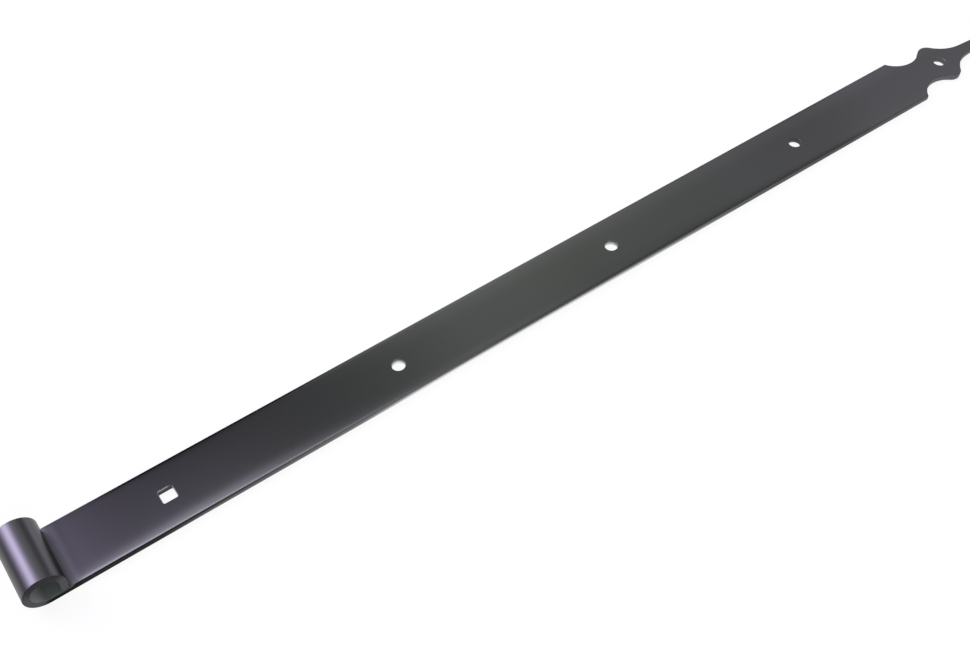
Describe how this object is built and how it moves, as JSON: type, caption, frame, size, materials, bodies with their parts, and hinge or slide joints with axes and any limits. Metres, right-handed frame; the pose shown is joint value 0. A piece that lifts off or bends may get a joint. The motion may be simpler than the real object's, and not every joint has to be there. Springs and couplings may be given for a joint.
{
  "type": "hinge band",
  "caption": "Flat strap band of a hook and band gate hinge: rolled eye for a pintle pin, square bolt hole near it, round screw holes, scalloped spear tip.",
  "frame": {"origin": "centre of the rolled eye's bore, at the middle of the band's width", "axes": "+X along the band from the eye to the tip, +Y across the band along the pin axis, +Z out of the face the eye is curled towards; the band's back faces -Z"},
  "size_m": [0.73, 0.04, 0.023],
  "materials": {
    "black_coating": "satin"
  },
  "bodies": {
    "root": {"band": "black_coating"}
  },
  "joints": []
}
